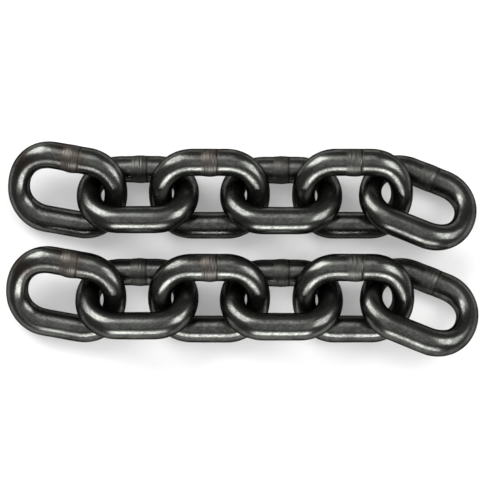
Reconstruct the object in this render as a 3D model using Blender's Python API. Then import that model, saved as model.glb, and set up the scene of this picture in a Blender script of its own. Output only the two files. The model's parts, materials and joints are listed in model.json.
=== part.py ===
# Heap of short-link steel chain: two loose lengths of six welded links each, lying side by side.
# Units are metres, +Z is up, the lengths run along X and the floor is z = 0.
# The origin is the middle of the heap's footprint, on the floor.
# Every link leans on the next one, so odd links have their back leg raised and even links their front leg.

import math

import bmesh
import bpy
from mathutils import Matrix, Vector

# One link: a round bar bent to a stadium with nearly round crowns, and flash welded in one leg.
LEG_RADIUS = 0.0069          # bar radius along the two straight legs
LEG_OFFSET = 0.0176          # from the link's middle line to a leg's centreline
CROWN_REACH = 0.0164         # length of a crown, measured along the link
CROWN_POWER = 2.1            # 2 is an ellipse, more is squarer shoulders
WELD_PLACE = 0.0005          # weld's middle along the leg
WELD_HALF_LENGTH = 0.0050    # half the length of the upset metal at the weld
WELD_SWELL = 0.00045         # how far the upset metal stands above the bar

# The left and right crown of each link, from left to right: how far its centreline lies from the
# link's middle, and its bar radius, which bending and wear have thinned unevenly.
CROWNS = (
    ((0.02515, 0.00560), (0.02495, 0.00580)),
    ((0.02485, 0.00625), (0.02480, 0.00640)),
    ((0.02500, 0.00590), (0.02500, 0.00590)),
    ((0.02480, 0.00640), (0.02485, 0.00635)),
    ((0.02505, 0.00585), (0.02515, 0.00560)),
    ((0.02515, 0.00560), (0.02515, 0.00560)),
)

# How the two lengths lie. Leans are to either side by turns; swings are seen from above.
LINK_SPACING = 0.0365        # between the middles of neighbouring links
LEAN = math.radians(33.75)   # of the four middle links
MIDDLE_DRIFTS = (0.0, 0.0, -0.0005, 0.0)    # across the length, of the four middle links
HINGE_DROP = 0.0040          # from the middle of a crossing down to the line that a link lifts about
ROW_SPACING = 0.0535         # between the middles of the two lengths
LEFT_LEAN = math.radians(31.0)
LEFT_SWING = math.radians(-10.2)
LEFT_STEP = (-0.0359, 0.0021)    # from the second link's middle to the left end link's
RIGHT_LEAN = math.radians(28.0)
RIGHT_SWING = math.radians(-22.0)
RIGHT_STEP = (0.0334, -0.0040)   # from the fifth link's middle to the right end link's

# How finely a link is cut into flat faces.
BAR_SIDES = 16
CROWN_SEGMENTS = 11          # odd, so a flat lies across the crown's middle
WELD_SEGMENTS = 4

STEEL_COLOUR = (0.045, 0.044, 0.040, 1.0)
STEEL_ROUGHNESS = 0.28
STEEL_METALLIC = 1.0


def clear_scene():
    for old in list(bpy.data.objects):
        bpy.data.objects.remove(old, do_unlink=True)


def weld_swell(along):
    """Height of the upset metal at a place along the welded leg: a cosine hump."""
    away = abs(along - WELD_PLACE) / WELD_HALF_LENGTH
    if away >= 1.0:
        return 0.0
    return WELD_SWELL * 0.5 * (1.0 + math.cos(math.pi * away))


def leg_stations(side, cuts):
    """Stations of one straight leg: middle point, outward direction, radius and weld swell."""
    outward = Vector((0.0, side, 0.0))
    return [(Vector((x, side * LEG_OFFSET, 0.0)), outward, LEG_RADIUS, weld_swell(x) if side > 0 else 0.0)
            for x in cuts]


def crown_stations(end, half_length, crown_radius):
    """Stations of one crown, without its two ends: a superellipse from one leg round to the other."""
    stations = []
    power = 2.0 / CROWN_POWER
    for step in range(1, CROWN_SEGMENTS):
        angle = math.pi * step / CROWN_SEGMENTS
        across = math.cos(angle)
        reach = CROWN_REACH * math.sin(angle) ** power
        y = math.copysign(LEG_OFFSET * abs(across) ** power, across)
        middle = Vector((end * (half_length - CROWN_REACH + reach), end * y, 0.0))
        slope = Vector((reach ** (CROWN_POWER - 1.0) / CROWN_REACH ** CROWN_POWER,
                        math.copysign(abs(y) ** (CROWN_POWER - 1.0), y) / LEG_OFFSET ** CROWN_POWER, 0.0))
        radius = LEG_RADIUS + (crown_radius - LEG_RADIUS) * math.sin(angle) ** 2
        stations.append((middle, (end * slope).normalized(), radius, 0.0))
    return stations


def link_stations(left_crown, right_crown):
    """All stations once round the link, from the welded back leg clockwise seen from above."""
    left_end = CROWN_REACH - left_crown[0]
    right_end = right_crown[0] - CROWN_REACH
    weld_cuts = [WELD_PLACE + WELD_HALF_LENGTH * (2.0 * step / WELD_SEGMENTS - 1.0)
                 for step in range(WELD_SEGMENTS + 1)]
    back_leg = leg_stations(1.0, [left_end] + weld_cuts + [right_end])
    front_leg = leg_stations(-1.0, [right_end, left_end])
    return back_leg + crown_stations(1.0, *right_crown) + front_leg + crown_stations(-1.0, *left_crown)


def section_points(lean, middle, outward, radius, swell):
    """Bar section at a station: a regular polygon whose flats lie on the real round bar's surface.

    The corners are counted from the side that faces the floor, so that one long flat of the
    lower leg lies on it. The weld's upset metal is dressed away on that side.
    """
    upward = Vector((0.0, 0.0, 1.0))
    floor_side = lean - math.pi / 2.0
    points = []
    for corner in range(BAR_SIDES):
        angle = floor_side + 2.0 * math.pi * (corner + 0.5) / BAR_SIDES
        dressed = min(1.0, max(0.0, (1.0 - math.cos(angle - floor_side)) * 2.0 - 0.2))
        reach = (radius + swell * dressed) / math.cos(math.pi / BAR_SIDES)
        points.append(middle + (outward * math.cos(angle) + upward * math.sin(angle)) * reach)
    return points


def link_mesh(name, lean, crowns):
    """One closed link, lying flat, with its welded leg towards +Y."""
    shape = bmesh.new()
    rings = [[shape.verts.new(point) for point in section_points(lean, *station)]
             for station in link_stations(*crowns)]
    for ring, following in zip(rings, rings[1:] + rings[:1]):
        for corner in range(BAR_SIDES):
            after = (corner + 1) % BAR_SIDES
            shape.faces.new((ring[corner], ring[after], following[after], following[corner]))
    bmesh.ops.recalc_face_normals(shape, faces=shape.faces)
    mesh = bpy.data.meshes.new(name)
    shape.to_mesh(mesh)
    shape.free()
    mesh.shade_smooth()
    return mesh


def steel(name):
    material = bpy.data.materials.new(name)
    material.use_nodes = True
    surface = material.node_tree.nodes["Principled BSDF"]
    surface.inputs["Base Color"].default_value = STEEL_COLOUR
    surface.inputs["Roughness"].default_value = STEEL_ROUGHNESS
    surface.inputs["Metallic"].default_value = STEEL_METALLIC
    return material


def link_places():
    """Middle, swing and lean of each link of one length, from left to right, along y = 0."""
    straight = [(LINK_SPACING * step, drift, 0.0, LEAN) for step, drift in enumerate(MIDDLE_DRIFTS)]
    left = (LEFT_STEP[0], LEFT_STEP[1], LEFT_SWING, LEFT_LEAN)
    right = (straight[-1][0] + RIGHT_STEP[0], RIGHT_STEP[1], RIGHT_SWING, RIGHT_LEAN)
    return [left] + straight + [right]


def rest_height(lean):
    """Height of a leaning link's middle when its lower leg lies on the floor."""
    return LEG_OFFSET * math.sin(lean) + LEG_RADIUS


def interlock_place(number):
    """Where a link lifts from the one before it: just under the crossing of their two crowns."""
    return Vector((LINK_SPACING * (number - 1.5), 0.0, rest_height(LEAN) - HINGE_DROP))


def place(name, parent, location):
    """An empty that carries what follows, at a world place, while its parents are unturned."""
    carrier = bpy.data.objects.new(name, None)
    carrier.empty_display_size = 0.01
    bpy.context.collection.objects.link(carrier)
    carrier.parent = parent
    parent_place = parent["world_place"] if parent else (0.0, 0.0, 0.0)
    carrier.location = Vector(location) - Vector(parent_place)
    carrier["world_place"] = tuple(location)
    return carrier


def build_length(length_name, heap, row_y):
    """Six links of one length. Each link after the first hangs on an empty at its interlock."""
    row = Vector((0.0, row_y, 0.0))
    carrier = place(length_name, heap, row)
    for number, (x, y, swing, lean) in enumerate(link_places(), start=1):
        if number > 1:
            interlock = interlock_place(number - 1) + row
            carrier = place(f"{length_name}_interlock_{number - 1}", carrier, interlock)
        name = f"{length_name}_link_{number}"
        link = bpy.data.objects.new(name, link_mesh(name, lean, CROWNS[number - 1]))
        bpy.context.collection.objects.link(link)
        link.data.materials.append(steel(f"{name}_steel"))
        link.parent = carrier
        middle = Vector((x, y, rest_height(lean))) + row
        link.location = middle - Vector(carrier["world_place"])
        tilt = lean if number % 2 else -lean
        link.rotation_euler = (Matrix.Rotation(swing, 3, "Z") @ Matrix.Rotation(tilt, 3, "X")).to_euler()


def centre_footprint(heap):
    """Move the heap so that the middle of its footprint is the origin."""
    bpy.context.view_layer.update()
    corners = [link.matrix_world @ vertex.co for link in bpy.data.objects if link.type == "MESH"
               for vertex in link.data.vertices]
    for axis in (0, 1):
        values = [corner[axis] for corner in corners]
        heap.location[axis] = -(min(values) + max(values)) / 2.0
    bpy.context.view_layer.update()


def main():
    clear_scene()
    heap = place("chain_heap", None, (0.0, 0.0, 0.0))
    build_length("back_length", heap, ROW_SPACING / 2.0)
    build_length("front_length", heap, -ROW_SPACING / 2.0)
    centre_footprint(heap)


main()
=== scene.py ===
import json
import math

import bpy
import numpy as np
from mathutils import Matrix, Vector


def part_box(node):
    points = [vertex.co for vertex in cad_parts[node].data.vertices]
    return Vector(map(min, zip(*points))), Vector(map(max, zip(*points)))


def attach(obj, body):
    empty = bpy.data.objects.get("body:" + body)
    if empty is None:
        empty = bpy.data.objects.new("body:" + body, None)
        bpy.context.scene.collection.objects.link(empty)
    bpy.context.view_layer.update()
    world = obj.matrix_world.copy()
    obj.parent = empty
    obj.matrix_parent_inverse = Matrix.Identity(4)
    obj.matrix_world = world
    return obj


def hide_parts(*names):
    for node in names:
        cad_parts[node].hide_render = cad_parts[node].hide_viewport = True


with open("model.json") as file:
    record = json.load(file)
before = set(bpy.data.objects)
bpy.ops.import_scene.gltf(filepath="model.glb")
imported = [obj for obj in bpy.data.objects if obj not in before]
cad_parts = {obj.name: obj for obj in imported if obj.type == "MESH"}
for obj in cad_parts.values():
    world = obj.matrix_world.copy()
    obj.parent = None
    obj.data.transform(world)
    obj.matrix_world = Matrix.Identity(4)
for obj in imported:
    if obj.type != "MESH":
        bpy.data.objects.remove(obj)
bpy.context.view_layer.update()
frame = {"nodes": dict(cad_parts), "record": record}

# Two loose lengths of short-link chain, six welded links each, side by side on a pale floor.
# Everything is in metres in the frame's own place; sizes are written as millimetres times mm.
mm = 0.001
print("frame loaded with", len(frame["nodes"]), "links")


class Shade:
    # wraps one socket, so that shader maths reads as plain sums
    def __init__(self, sheet, socket):
        self.sheet = sheet
        self.socket = socket

    def maths(self, operation, first, second):
        return self.sheet.node("ShaderNodeMath", {"operation": operation}, [first, second])

    def __add__(self, other):
        return self.maths("ADD", self, other)

    def __radd__(self, other):
        return self.maths("ADD", other, self)

    def __sub__(self, other):
        return self.maths("SUBTRACT", self, other)

    def __rsub__(self, other):
        return self.maths("SUBTRACT", other, self)

    def __mul__(self, other):
        return self.maths("MULTIPLY", self, other)

    def __rmul__(self, other):
        return self.maths("MULTIPLY", other, self)


class Sheet:
    # one material, with its nodes made by one method
    def __init__(self, name):
        self.material = bpy.data.materials.new(name)
        self.material.use_nodes = True
        self.tree = self.material.node_tree
        self.surface = self.tree.nodes["Principled BSDF"]

    def plug(self, socket, value):
        if isinstance(value, Shade):
            self.tree.links.new(value.socket, socket)
        else:
            socket.default_value = value

    def node(self, kind, settings, sockets, out=0):
        # settings first, then sockets: a list by place, or a dictionary by name or place
        made = self.tree.nodes.new(kind)
        for key, value in settings.items():
            setattr(made, key, value)
        pairs = sockets.items() if isinstance(sockets, dict) else enumerate(sockets)
        for key, value in pairs:
            self.plug(made.inputs[key], value)
        return Shade(self, made.outputs[out])

    def attribute(self, name, out):
        return self.node("ShaderNodeAttribute", {"attribute_name": name}, {}, out)

    def noise(self, place, stretch, scale, detail=3.0, roughness=0.5):
        stretched = self.node("ShaderNodeVectorMath", {"operation": "MULTIPLY"}, [place, stretch])
        return self.node("ShaderNodeTexNoise", {}, {"Vector": stretched, "Scale": scale, "Detail": detail,
                                                    "Roughness": roughness})

    def between(self, value, low, high):
        # 0 up to low, 1 from high on, smooth between them
        return self.node("ShaderNodeMapRange", {"interpolation_type": "SMOOTHSTEP"},
                         [value, low, high, 0.0, 1.0])

    def mixColour(self, share, first, second):
        return self.node("ShaderNodeMix", {"data_type": "RGBA"}, {0: share, 6: first, 7: second}, 2)

    def give(self, sockets):
        for name, value in sockets.items():
            self.plug(self.surface.inputs[name], value)


# One link: a round bar bent to two straight legs and two crowns.
link = {
    "legRadius": 6.9 * mm,
    "legOffset": 17.6 * mm,        # from the link's middle line to a leg's centreline
    # left and right crown of each link from left to right: how far its middle line lies from the
    # link's middle, and its radius, drawn thinner by bending and wear
    "crowns": (
        ((25.15 * mm, 5.6 * mm), (24.95 * mm, 5.8 * mm)),
        ((24.85 * mm, 6.25 * mm), (24.8 * mm, 6.4 * mm)),
        ((25.0 * mm, 5.9 * mm), (25.0 * mm, 5.9 * mm)),
        ((24.8 * mm, 6.4 * mm), (24.85 * mm, 6.35 * mm)),
        ((25.05 * mm, 5.85 * mm), (25.15 * mm, 5.6 * mm)),
        ((25.15 * mm, 5.6 * mm), (25.15 * mm, 5.6 * mm)),
    ),
    "crownReach": 16.4 * mm,
    "crownPower": 2.1,             # 2 is an ellipse, more is squarer shoulders
    "legCuts": 26,
    "weldCuts": 110,
    "crownCuts": 92,
    "around": 88,
    "waves": 14,
    "waveHeight": 0.022 * mm,
}

# The flash weld in the back leg: upset metal with a seam near its right end.
weld = {
    "place": 0.5 * mm,             # its middle, along the leg
    "halfLength": 5.0 * mm,
    "swell": 0.45 * mm,
    "swellShares": (1.0, 0.7, 1.0, 0.7, 0.8, 0.35),  # how much of it each link shows, from left to right
    "seam": 4.1 * mm,              # the seam, along the leg
    "seamDepth": 0.11 * mm,
    "seamHalfWidth": 0.42 * mm,
    "seamShares": (1.0, 0.6, 1.0, 0.6, 2.2, 0.7),    # depth of each link's seam, from left to right
    "ridges": 16,
    "ridgeHeight": 0.011 * mm,
    "warmShares": (0.6, 0.0, 0.4, 0.0, 0.0, 0.0),    # how brown its heat left each link
    "warmHalfLength": 7.0 * mm,
}

# A spot of rust on the free crown of the first link, at its place along and across the link.
rust = {"link": 1, "along": -23.5 * mm, "across": 14.0 * mm, "radius": 4.0 * mm}

# How the links lie, by turns leaning to either side.
layout = {
    "spacing": 36.5 * mm,
    "lean": 33.75,
    "drifts": (0.0, 0.0, -0.5 * mm, 0.0),    # across the length, of the four middle links
    "left": {"step": (-35.9 * mm, 2.1 * mm), "swing": -10.2, "lean": 31.0},
    "right": {"step": (33.4 * mm, -4.0 * mm), "swing": -22.0, "lean": 28.0},
}


def barPath(number):
    # Middle line of the bar, once round from the weld's seam, clockwise seen from above.
    # Legs are straight. A crown is a superellipse: along = reach * sin(t)^(2/power) and
    # across = offset * cos(t)^(2/power), with t from 0 to pi.
    # The bar thins from the legs to the middle of a crown with sin(t) squared.
    (leftLength, leftRadius), (rightLength, rightRadius) = link["crowns"][number - 1]
    leftEnd, rightEnd = link["crownReach"] - leftLength, rightLength - link["crownReach"]
    cuts = link["weldCuts"]
    ahead = round(cuts * (rightEnd - weld["seam"]) / (rightEnd - leftEnd))
    firstX = np.linspace(weld["seam"], rightEnd, ahead, endpoint=False)
    lastX = np.linspace(leftEnd, weld["seam"], cuts - ahead, endpoint=False)
    frontX = np.linspace(rightEnd, leftEnd, link["legCuts"], endpoint=False)

    t = np.linspace(0.0, math.pi, link["crownCuts"], endpoint=False)
    power = 2.0 / link["crownPower"]
    reach = link["crownReach"] * np.sin(t) ** power
    across = link["legOffset"] * np.sign(np.cos(t)) * np.abs(np.cos(t)) ** power
    thinning = np.sin(t) ** 2

    offset, leg = link["legOffset"], link["legRadius"]
    x = np.concatenate([firstX, rightEnd + reach, frontX, leftEnd - reach, lastX])
    y = np.concatenate([0 * firstX + offset, across, 0 * frontX - offset, -across, 0 * lastX + offset])
    radius = leg + np.concatenate([0 * firstX, (rightRadius - leg) * thinning, 0 * frontX,
                                   (leftRadius - leg) * thinning, 0 * lastX])
    onBackLeg = np.concatenate([0 * firstX + 1, 0 * reach, 0 * frontX, 0 * reach, 0 * lastX + 1])
    return x, y, radius, onBackLeg


def linkSurface(number, lean):
    # The bar's surface over two parameters: the place along the middle line and the angle round it.
    # radius = the bar's, plus slow waves left by forging, plus the weld's cosine hump and ridges,
    # less the seam's bell-shaped groove.
    x, y, barRadius, onBackLeg = barPath(number)
    steps = np.hypot(np.roll(x, -1) - x, np.roll(y, -1) - y)
    along = np.concatenate([[0.0], np.cumsum(steps)[:-1]])
    length = steps.sum()
    slopeX = np.roll(x, -1) - np.roll(x, 1)
    slopeY = np.roll(y, -1) - np.roll(y, 1)
    size = np.hypot(slopeX, slopeY)
    outX, outY = -slopeY / size, slopeX / size

    angle = np.linspace(0.0, 2 * math.pi, link["around"], endpoint=False)[None, :]
    s = along[:, None]
    radius = barRadius[:, None] + 0 * angle

    dice = np.random.default_rng(40 + number)
    turns = dice.integers(1, 12, link["waves"])[:, None, None]
    twists = dice.integers(0, 3, link["waves"])[:, None, None]
    phases = dice.uniform(0, 2 * math.pi, link["waves"])[:, None, None]
    waves = np.sin(2 * math.pi * turns * s / length + twists * angle + phases) / turns ** 0.5
    radius += link["waveHeight"] * waves.sum(axis=0)

    fromWeld = np.where(onBackLeg > 0, x - weld["place"], 1.0)[:, None]
    fromSeam = np.where(onBackLeg > 0, x - weld["seam"], 1.0)[:, None]
    away = np.clip(np.abs(fromWeld) / weld["halfLength"], 0.0, 1.0)
    hump = 0.5 * (1.0 + np.cos(math.pi * away))
    pitch = dice.uniform(0.7, 2.6, weld["ridges"])[:, None, None] * mm
    bend = dice.integers(0, 4, weld["ridges"])[:, None, None]
    phases = dice.uniform(0, 2 * math.pi, weld["ridges"])[:, None, None]
    ridges = np.sin(2 * math.pi * fromWeld / pitch + 0.9 * np.sin(bend * angle + phases) + phases).sum(axis=0)
    groove = np.exp(-(fromSeam / weld["seamHalfWidth"] + 0.35 * np.sin(2 * angle + number)) ** 2)
    groove *= 0.75 + 0.25 * np.sin(3 * angle + 2 * number)
    metal = weld["swell"] * weld["swellShares"][number - 1] * hump
    metal = metal + weld["ridgeHeight"] * ridges * np.clip(2.5 * hump, 0.0, 1.0)
    metal -= weld["seamDepth"] * weld["seamShares"][number - 1] * groove
    floorSide = lean - math.pi / 2                     # the side that faces the floor is dressed flat
    dressed = np.clip((1.0 - np.cos(angle - floorSide)) * 2.0 - 0.2, 0.0, 1.0)
    radius += metal * dressed

    reachOut = radius * np.cos(angle)
    points = np.stack([x[:, None] + outX[:, None] * reachOut, y[:, None] + outY[:, None] * reachOut,
                       radius * np.sin(angle)], axis=-1)
    bar = np.stack([s + 0 * angle + 0.3 * number, radius * np.cos(angle), radius * np.sin(angle)], axis=-1)
    return points, bar / mm, np.abs(fromWeld) + 0 * angle, np.abs(fromSeam) + 0 * angle


def lay(points, tilt, swing, middle):
    # Leans a link about X, swings it about Z and sets it down at its middle.
    ct, st = math.cos(tilt), math.sin(tilt)
    cs, ss = math.cos(swing), math.sin(swing)
    x, y, z = points[..., 0], points[..., 1], points[..., 2]
    y, z = y * ct - z * st, y * st + z * ct
    x, y = x * cs - y * ss, x * ss + y * cs
    laid = np.stack([x + middle[0], y + middle[1], np.maximum(z + middle[2], 0.0)], axis=-1)
    return laid


def ringMesh(name, points, marks):
    # A grid closed both ways, with its named marks kept on the points.
    rows, columns = points.shape[:2]
    i, j = np.meshgrid(np.arange(rows), np.arange(columns), indexing="ij")
    nextI, nextJ = (i + 1) % rows, (j + 1) % columns
    faces = np.stack([i * columns + j, i * columns + nextJ,
                      nextI * columns + nextJ, nextI * columns + j], axis=-1)
    mesh = bpy.data.meshes.new(name)
    mesh.from_pydata(points.reshape(-1, 3), [], faces.reshape(-1, 4))
    mesh.shade_smooth()
    for markName, values in marks.items():
        vector = values.ndim == 3
        mark = mesh.attributes.new(markName, "FLOAT_VECTOR" if vector else "FLOAT", "POINT")
        mark.data.foreach_set("vector" if vector else "value", values.astype(np.float32).ravel())
    mesh.update()
    piece = bpy.data.objects.new(name, mesh)
    bpy.context.scene.collection.objects.link(piece)
    return piece


# Dark burnished steel under a film of oil. Lengths here are millimetres along and round the bar.
steel = {
    "body": (0.102, 0.105, 0.097, 1.0),
    "scale": (0.050, 0.051, 0.048, 1.0),
    "brown": (0.074, 0.057, 0.048, 1.0),
    "weldLight": (0.080, 0.079, 0.073, 1.0),
    "weldDark": (0.058, 0.057, 0.053, 1.0),
    "seam": (0.016, 0.015, 0.013, 1.0),
    "edgeTint": (0.24, 0.24, 0.24, 1.0),
    "roughness": 0.23,
    "weldRoughness": 0.40,
    "weldHalfLength": 4.6,
    "seamHalfWidth": 0.45,
}


def darkSteel():
    sheet = Sheet("dark_steel")
    bar = sheet.attribute("barSpace", 1)
    weldAway = sheet.attribute("weldAway", 2)
    seamAway = sheet.attribute("seamAway", 2)
    warmth = sheet.attribute("warmth", 2)

    cloud = sheet.noise(bar, (1, 1, 1), 0.11, 4.0, 0.6)             # slow patches of scale and oil
    drawn = sheet.noise(bar, (0.12, 1, 1), 1.1, 4.0, 0.6)           # faint lines along the bar
    grit = sheet.noise(bar, (1, 1, 1), 2.2, 3.0, 0.65)
    grain = sheet.noise(bar, (0.45, 1, 1), 1.3, 4.0, 0.7)           # fine mottling, longer along the bar
    streak = sheet.noise(bar, (1, 0.16, 0.16), 1.5, 4.0, 0.65)      # lines round the weld
    wander = sheet.noise(bar, (0.2, 1, 1), 0.5, 2.0)

    patch = sheet.between(cloud + (grain - 0.5) * 1.1, 0.34, 0.70)
    pits = sheet.between(grit, 0.63, 0.74)
    inWeld = 1.0 - sheet.between(weldAway + wander * 2.2 - 1.1, steel["weldHalfLength"] - 1.0,
                                 steel["weldHalfLength"] + 0.5)
    inSeam = 1.0 - sheet.between(seamAway + streak * 0.5 - 0.25, 0.15, steel["seamHalfWidth"] + 0.35)
    bright = sheet.between(streak, 0.40, 0.66)

    colour = sheet.mixColour(patch, steel["body"], steel["scale"])
    weldColour = sheet.mixColour(bright, steel["weldDark"], steel["weldLight"])
    colour = sheet.mixColour(inWeld, colour, weldColour)
    colour = sheet.mixColour(warmth * sheet.between(cloud + grit * 0.4, 0.50, 0.80), colour, steel["brown"])
    colour = sheet.mixColour(inSeam * 0.7, colour, steel["seam"])

    roughness = steel["roughness"] + patch * 0.05 + (drawn - 0.5) * 0.06 + pits * 0.08
    roughness = roughness + inWeld * (steel["weldRoughness"] - steel["roughness"] + (streak - 0.5) * 0.3)

    height = drawn * 0.25 + grit * 0.12 - pits * 0.25 + inWeld * (streak * 0.7 + grit * 0.3)
    bump = sheet.node("ShaderNodeBump", {}, {"Strength": 0.24, "Distance": 0.08 * mm, "Height": height})

    sheet.give({"Base Color": colour, "Roughness": roughness, "Metallic": 1.0, "Normal": bump,
                "Specular Tint": steel["edgeTint"]})
    return sheet.material


steelMaterial = darkSteel()
print("dark steel made")


# The two lengths, each placed from its third link's box in the frame.
bodyOf = {node: body for body, nodes in frame["record"]["behaviour"]["bodies"].items() for node in nodes}


def restHeight(lean):
    return link["legOffset"] * math.sin(lean) + link["legRadius"]


def lengthOf(name):
    low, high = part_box(f"{name}_link_3")
    lean = math.radians(layout["lean"])
    rowX = (low.x + high.x) / 2 - layout["spacing"]
    rowY = low.y + link["legOffset"] * math.cos(lean) + link["legRadius"]
    for number in range(1, 7):
        if number in (1, 6):
            end = layout["left" if number == 1 else "right"]
            x = end["step"][0] + (0 if number == 1 else 3 * layout["spacing"])
            y, swing, lean = end["step"][1], math.radians(end["swing"]), math.radians(end["lean"])
        else:
            x, y = layout["spacing"] * (number - 2), layout["drifts"][number - 2]
            swing, lean = 0.0, math.radians(layout["lean"])
        points, bar, weldAway, seamAway = linkSurface(number, lean)
        side = 1 if number % 2 else -1
        middle = (rowX + x, rowY + y, restHeight(lean))
        warmth = weld["warmShares"][number - 1] * np.exp(-(weldAway / weld["warmHalfLength"]) ** 4)
        if number == rust["link"]:
            spot = np.hypot(points[..., 0] - rust["along"], points[..., 1] - rust["across"])
            warmth = np.maximum(warmth, np.exp(-(spot / rust["radius"]) ** 2))
        marks = {"barSpace": bar, "weldAway": weldAway / mm, "seamAway": seamAway / mm, "warmth": warmth}
        node = f"{name}_link_{number}"
        piece = ringMesh(f"{name}_steel_link_{number}", lay(points, side * lean, swing, middle), marks)
        piece.data.materials.append(steelMaterial)
        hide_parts(node)
        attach(piece, bodyOf[node])
    print(name, "laid")


for name in ("back_length", "front_length"):
    lengthOf(name)


# Floor, lights and camera.
studio = {
    "floorHalf": 4.0,
    "floorColour": (0.50, 0.50, 0.497, 1.0),
    "floorGlow": 0.24,             # the pale floor is lit a little from below, as on a light table
    "worldColour": (0.50, 0.503, 0.505, 1.0),
    "worldStrength": 0.40,
    "distance": 0.8,
    "overheadHeight": 1.3,
    # degrees round from the back towards the right, degrees from upright, width, height, watts
    "backLeftBox": (-46.0, 53.0, 0.50, 0.60, 8.4),
    "rightBox": (84.0, 48.0, 0.54, 0.46, 6.2),
    "frontStrip": (180.0, 66.0, 0.66, 0.30, 7.0),
    "backSoft": (0.0, 32.0, 0.44, 0.42, 1.0),
    "overhead": (0.0, 0.0, 1.6, 1.6, 5.6),
}

view = {
    "elevation": 82.558,
    "distance": 868.3 * mm,
    "right": 2.8 * mm,
    "up": 2.24 * mm,
    "lens": 120.8,
}


def makeFloor():
    half = studio["floorHalf"]
    u, v = np.meshgrid(np.linspace(-half, half, 9), np.linspace(-half, half, 9), indexing="ij")
    corners = np.stack([u, v, 0 * u], axis=-1).reshape(-1, 3)
    i, j = np.meshgrid(np.arange(8), np.arange(8), indexing="ij")
    faces = np.stack([i * 9 + j, (i + 1) * 9 + j, (i + 1) * 9 + j + 1, i * 9 + j + 1], axis=-1).reshape(-1, 4)
    mesh = bpy.data.meshes.new("floor")
    mesh.from_pydata(corners, [], faces)
    floor = bpy.data.objects.new("floor", mesh)
    bpy.context.scene.collection.objects.link(floor)
    sheet = Sheet("floor_paper")
    sheet.give({"Base Color": studio["floorColour"], "Roughness": 0.9, "Specular IOR Level": 0.2,
                "Emission Color": (1.0, 1.0, 1.0, 1.0), "Emission Strength": studio["floorGlow"]})
    mesh.materials.append(sheet.material)


def makeLights():
    for name in ("backLeftBox", "rightBox", "frontStrip", "backSoft", "overhead"):
        around, lean, width, height, watts = studio[name]
        light = bpy.data.lights.new(name, "AREA")
        light.shape = "RECTANGLE"
        light.size, light.size_y = width, height
        light.energy = watts
        lamp = bpy.data.objects.new(name, light)
        bpy.context.scene.collection.objects.link(lamp)
        around, lean = math.radians(around), math.radians(lean)
        away = studio["overheadHeight" if name == "overhead" else "distance"]
        lamp.location = (away * math.sin(lean) * math.sin(around), away * math.sin(lean) * math.cos(around),
                         away * math.cos(lean))
        lamp.rotation_euler = (-lean, 0.0, -around)
    world = bpy.data.worlds.new("studio")
    bpy.context.scene.world = world
    world.use_nodes = True
    background = world.node_tree.nodes["Background"]
    background.inputs["Color"].default_value = studio["worldColour"]
    background.inputs["Strength"].default_value = studio["worldStrength"]
    bpy.context.scene.view_settings.view_transform = "Standard"


def makeCamera():
    camera = bpy.data.cameras.new("camera")
    camera.lens = view["lens"]
    camera.sensor_width = 36.0
    camera.clip_start, camera.clip_end = 0.01, 20.0
    eye = bpy.data.objects.new("camera", camera)
    bpy.context.scene.collection.objects.link(eye)
    rise = math.radians(view["elevation"])
    back = view["distance"] * np.array([0.0, -math.cos(rise), math.sin(rise)])
    up = view["up"] * np.array([0.0, math.sin(rise), math.cos(rise)])
    eye.location = back + up + np.array([view["right"], 0.0, 0.0])
    eye.rotation_euler = (math.pi / 2 - rise, 0.0, 0.0)
    bpy.context.scene.camera = eye


makeFloor()
makeLights()
makeCamera()
print("floor, lights and camera set")
